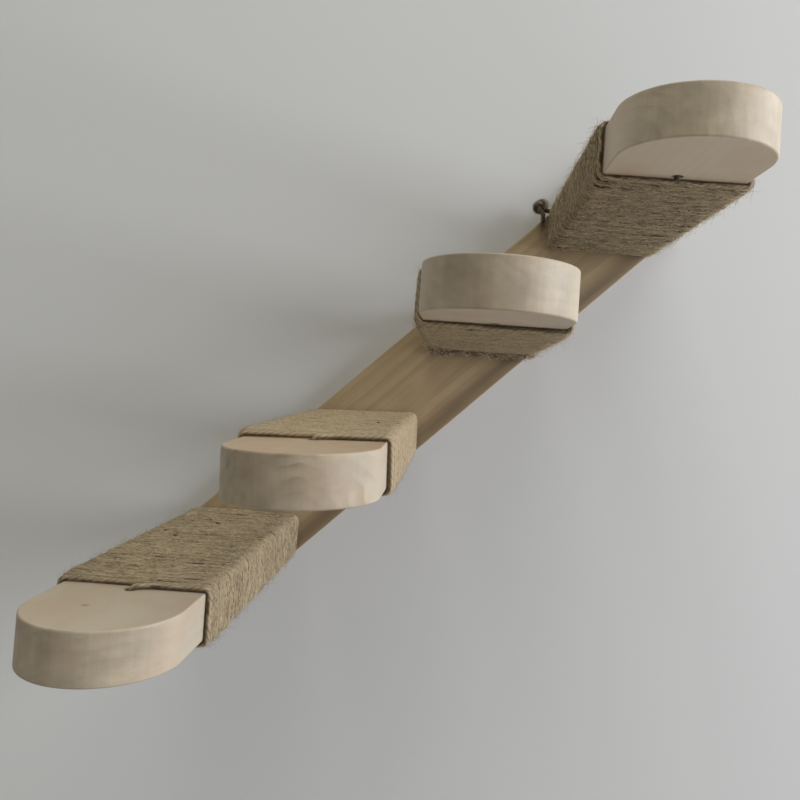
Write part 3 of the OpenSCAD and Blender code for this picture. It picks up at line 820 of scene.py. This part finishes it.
class CATSTAIRS_OT_tie_knot(bpy.types.Operator):
    """Ties the knot at the end of the highest tread's rope, with its frayed end"""
    bl_idname = "cat_stairs.tie_knot"
    bl_label = "Tie the knot"

    def execute(self, context):
        settings = context.scene.cat_stairs
        rope, knot, fibres = settings.rope, settings.knot, settings.fibres
        dice = np.random.default_rng(knot.seed)
        route = knot_route(rope, knot)
        full = knot.thickness * knot.fullness
        shape = laid_tube(route, ACROSS, np.full(len(route), full), knot.lay, rope, dice)
        # The knot's rope is painted darker by its pale share: painted shade
        piece = new_piece("tied_knot", shape, rope_finish("jute knot", rope, knot.lay, knot.pale, 1.6))
        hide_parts("rope_knot")

        count = knot.yarns
        end, before = route[-1], unit(route[-1] - route[-6])
        back = before * dice.uniform(0.0, 0.004, count)[:, None]
        roots = end - back + dice.normal(0.0, 0.0008, (count, 3))
        starts = unit(before + dice.normal(0.0, 0.35, (count, 3)))
        bends = dice.normal(0.0, 0.4, (count, 3)) + np.array([0.15, -0.1, -0.3])
        lengths = dice.uniform(0.003, 0.008, count)
        strands = fibre_finish("frayed jute", rope.groove_shade_and_fray, 3.0)
        fray = tapering_hairs(roots, starts, bends, lengths, np.full(count, 0.0003), steps=6, sides=5)
        new_piece("frayed_end", fray, strands)
        fuzz = sown_hairs(route, ACROSS, full, knot.fuzz, fibres.spread, 0.3,
                          fibres.standing_length, fibres.thin, dice)
        new_piece("knot_fuzz", fuzz, strands)
        return {"FINISHED"}


class CATSTAIRS_OT_raise_fibres(bpy.types.Operator):
    """Raises the stray fibres of the rope, and catches a few bits of bark in it"""
    bl_idname = "cat_stairs.raise_fibres"
    bl_label = "Raise the fibres"

    def execute(self, context):
        settings = context.scene.cat_stairs
        rope, fibres = settings.rope, settings.fibres
        bark = fibre_finish("bark", fibres.bark, 2.0)
        full = rope.thickness * rope.fullness
        for n in TREADS:
            dice = np.random.default_rng(fibres.seed + n)
            route, side = wound(n, rope, settings.knot), side_of(n)
            rough = 0.4 + 0.6 * WINDINGS[n][1]
            finish = fibre_finish(f"stray fibres {n}", fibres.tint, 1.0, 0.8 - 0.35 * rough)
            for kind, count, spread, lift, length, width in (
                    ("lying", fibres.lying * min(rough, 1.0), 1, 0.05, fibres.lying_length, fibres.thick),
                    ("standing", fibres.standing * rough, 2, 0.55, fibres.standing_length * rough,
                     fibres.thin)):
                hairs = sown_hairs(route, side, full, int(count), fibres.spread * spread, lift * rough,
                                   length, width * rough, dice)
                new_piece(f"{kind}_fibres_{n}", hairs, finish)

            along, outward, _ = frame_along(route, side)
            spots = on_tread(n, np.array(FLECKS.get(n, ())).reshape(-1, 3))
            chosen = [int(np.linalg.norm(route - spot, axis=1).argmin()) for spot in spots]
            some = np.array(chosen + dice.integers(60, len(route) - 60, fibres.flecks).tolist())
            large = np.r_[np.full(len(chosen), 1.8), np.ones(fibres.flecks)]
            flecks = tapering_hairs(
                route[some] + outward[some] * full * 0.5, unit(along[some] + outward[some] * 0.1),
                dice.normal(0.0, 0.2, (len(some), 3)),
                dice.uniform(0.0015, 0.0035, len(some)) * large,
                dice.uniform(0.0003, 0.0007, len(some)) * large, steps=3, sides=5)
            new_piece(f"bark_flecks_{n}", flecks, bark)
            if n == SHAGGY:
                self.wear(n, route, outward, full, fibres, dice)
        return {"FINISHED"}

    def wear(self, n, route, outward, full, fibres, dice):
        """Sticks pale and dark wisps out of the underside of winding n at its root."""
        worn = fibre_finish("worn jute", fibres.worn, 4.0, 0.3)
        fresh = fibre_finish("fresh jute", fibres.fresh, 5.0, 0.6)
        below = np.flatnonzero(outward[:, 2] < -0.3)
        below = below[(below > WORN_FROM * len(route)) & (below < len(route) - 8)]
        face = tread_place(n)[1] - WISP_GAP
        for name, paint, count in (("pale_shag", fresh, fibres.shag), ("dark_shag", worn, fibres.shag // 2)):
            shag = sown_hairs(route, side_of(n), full, count, 0.8, 2.6, fibres.shag_length, fibres.shag_thick,
                              dice, below, 0.4)
            # Wisps that meet the backboard lie against it
            shag[0][:, 1] -= 0.95 * np.maximum(shag[0][:, 1] - face, 0.0)
            new_piece(name, shag, paint)


class CATSTAIRS_OT_finish_treads(bpy.types.Operator):
    """Gives each tread its own piece of pale, sanded wood"""
    bl_idname = "cat_stairs.finish_treads"
    bl_label = "Finish the treads"

    def execute(self, context):
        look = context.scene.cat_stairs.tread_wood
        for n in TREADS:
            finish = wood_finish(f"tread wood {n}", look, tuple(tread_place(n)), tread_lean(n), PITHS[n],
                                 10.0 * n, *WOODS[n], KNOTS.get(n, ()))
            dress(f"tread_{n}", finish)
        return {"FINISHED"}


class CATSTAIRS_OT_finish_board(bpy.types.Operator):
    """Gives the backboard its wood, with the grain up the slope"""
    bl_idname = "cat_stairs.finish_board"
    bl_label = "Finish the backboard"

    def execute(self, context):
        look = context.scene.cat_stairs.board_wood
        up = tread_place(TREADS[-1]) - tread_place(TREADS[0])
        slope = math.atan2(up[2], up[0])
        turn = Matrix(((math.sin(slope), math.cos(slope), 0.0), (0.0, 0.0, -1.0),
                       (-math.cos(slope), math.sin(slope), 0.0))).to_euler()
        dress("backboard", wood_finish("board wood", look, (0.0, 0.0, 0.0), tuple(turn), BOARD_PITH, 77.0,
                                       lines=BOARD_RINGS_AND_EDGE_SHADE))
        return {"FINISHED"}


class CATSTAIRS_OT_finish_fixings(bpy.types.Operator):
    """Gives the screws, the hanger plates and the dowels their steel and wood"""
    bl_idname = "cat_stairs.finish_fixings"
    bl_label = "Finish the fixings"

    def execute(self, context):
        settings = context.scene.cat_stairs
        look = settings.steel
        plated = steel_finish("plated steel", look.plated, 0.42, (900.0, 120.0, 900.0))
        brushed = steel_finish("brushed steel", look.brushed, 0.5, (2600.0, 60.0, 60.0))
        for n in TREADS:
            dress(f"tread_screws_{n}", plated)
            turned = wood_finish(f"dowel wood {n}", settings.dowel_wood, tuple(tread_place(n)),
                                 (0.0, 0.0, 0.0), DOWEL_PITH, 5.0 + n)
            dress(f"dowels_{n}", turned)
        dress("hanger_screws", plated)
        for n in HANGERS:
            dress(f"hanger_{n}", brushed)
        return {"FINISHED"}


def new_light(name, place, aim, side, tint, power):
    """A soft, square area light that looks from its place at its aim, and isn't seen itself."""
    lamp = bpy.data.lights.new(name, "AREA")
    lamp.shape, lamp.size, lamp.energy, lamp.color = "SQUARE", side, power, tint
    light = placed(name, lamp)
    light.location = place
    light.rotation_euler = (Vector(aim) - Vector(place)).to_track_quat("-Z", "Y").to_euler()
    light.visible_camera = False


def stage_sheet(name, corners, faces, finish):
    """A flat sheet of the stage."""
    sheet = placed(name, new_mesh(name, corners, faces, finish))


class CATSTAIRS_OT_set_stage(bpy.types.Operator):
    """Sets the wall, the floor, the lights and the camera"""
    bl_idname = "cat_stairs.set_stage"
    bl_label = "Set the stage"

    def execute(self, context):
        stage = context.scene.cat_stairs.stage
        reach, level = stage.reach, stage.floor_level
        first, last = tread_place(TREADS[0]), tread_place(TREADS[-1])
        along = (last - first) / np.linalg.norm(last - first)
        over = np.array([-along[2], 0.0, along[0]])
        long_way = np.linalg.norm(last - first) / 2 + BOARD_END - WALL_OVER
        short_way = BOARD_SIDE - WALL_OVER
        square = ((-1, -1), (1, -1), (1, 1), (-1, 1))
        inner = [tuple(along * long_way * i + over * short_way * k + ACROSS * WALL_BEHIND) for i, k in square]
        outer = [(reach * i, WALL_BEHIND, reach if k > 0 else level) for i, k in square]
        around = [(i, (i + 1) % 4, 4 + (i + 1) % 4, 4 + i) for i in range(4)]
        stage_sheet("wall", outer + inner, around, stage_finish("wall paint", stage.wall, True))
        corners = [(reach * i, reach * k, level) for i, k in square]
        stage_sheet("floor", corners, [(0, 1, 2, 3)], stage_finish("floor paint", stage.floor, False))
        for name, (place, aim, side, tint) in LIGHTS.items():
            new_light(name, place, aim, side, tint, getattr(stage, name))

        world = bpy.data.worlds.new("room")
        world.use_nodes = True
        world.node_tree.nodes.clear()
        start = Wire(world.node_tree)
        seen = start.node("LightPath", out="Is Camera Ray")
        lit, pale = (start.node("Background", sockets={"Color": solid(tint), "Strength": strength})
                     for tint, strength in ((ROOM_TINT, stage.room), (stage.floor, 1.0)))
        both = start.node("MixShader", sockets={0: seen, 1: lit, 2: pale})
        start.node("OutputWorld", sockets={"Surface": both})
        context.scene.world = world
        context.scene.view_settings.view_transform = "Standard"

        camera = bpy.data.cameras.new("camera")
        camera.lens, camera.sensor_width, camera.clip_start = stage.lens, 36.0, 0.02
        camera.shift_x, camera.shift_y = CAMERA_SHIFT
        eye = placed("camera", camera)
        stand = Matrix.Translation(CAMERA_PLACE)
        for degrees, axis in CAMERA_TURNS:
            stand = stand @ Matrix.Rotation(math.radians(degrees), 4, axis)
        eye.matrix_world = stand
        context.scene.camera = eye
        return {"FINISHED"}


class CATSTAIRS_PT_panel(bpy.types.Panel):
    """Lists what the stairs are dressed with"""
    bl_idname = "CATSTAIRS_PT_panel"
    bl_label = "Cat Stairs"
    bl_space_type = "VIEW_3D"
    bl_region_type = "UI"
    bl_category = "Cat Stairs"

    def draw(self, context):
        settings = context.scene.cat_stairs
        for group in settings.__annotations__:
            box = self.layout.box()
            values = getattr(settings, group)
            for name in values.__annotations__:
                box.prop(values, name)
        for operator in OPERATORS:
            self.layout.operator(operator.bl_idname)


OPERATORS = (
    CATSTAIRS_OT_wind_rope, CATSTAIRS_OT_tie_knot, CATSTAIRS_OT_raise_fibres, CATSTAIRS_OT_finish_treads,
    CATSTAIRS_OT_finish_board, CATSTAIRS_OT_finish_fixings, CATSTAIRS_OT_set_stage)
CLASSES = (
    RopeSettings, KnotSettings, FibreSettings, TreadWoodSettings, BoardWoodSettings, DowelWoodSettings,
    SteelSettings, StageSettings, StairsSettings, *OPERATORS, CATSTAIRS_PT_panel)


def register():
    for entry in CLASSES:
        bpy.utils.register_class(entry)
    bpy.types.Scene.cat_stairs = PointerProperty(type=StairsSettings)


def unregister():
    del bpy.types.Scene.cat_stairs
    for entry in reversed(CLASSES):
        bpy.utils.unregister_class(entry)


def main():
    register()
    bpy.ops.cat_stairs.wind_rope()
    bpy.ops.cat_stairs.tie_knot()
    bpy.ops.cat_stairs.raise_fibres()
    bpy.ops.cat_stairs.finish_treads()
    bpy.ops.cat_stairs.finish_board()
    bpy.ops.cat_stairs.finish_fixings()
    bpy.ops.cat_stairs.set_stage()


if __name__ == "__main__":
    main()
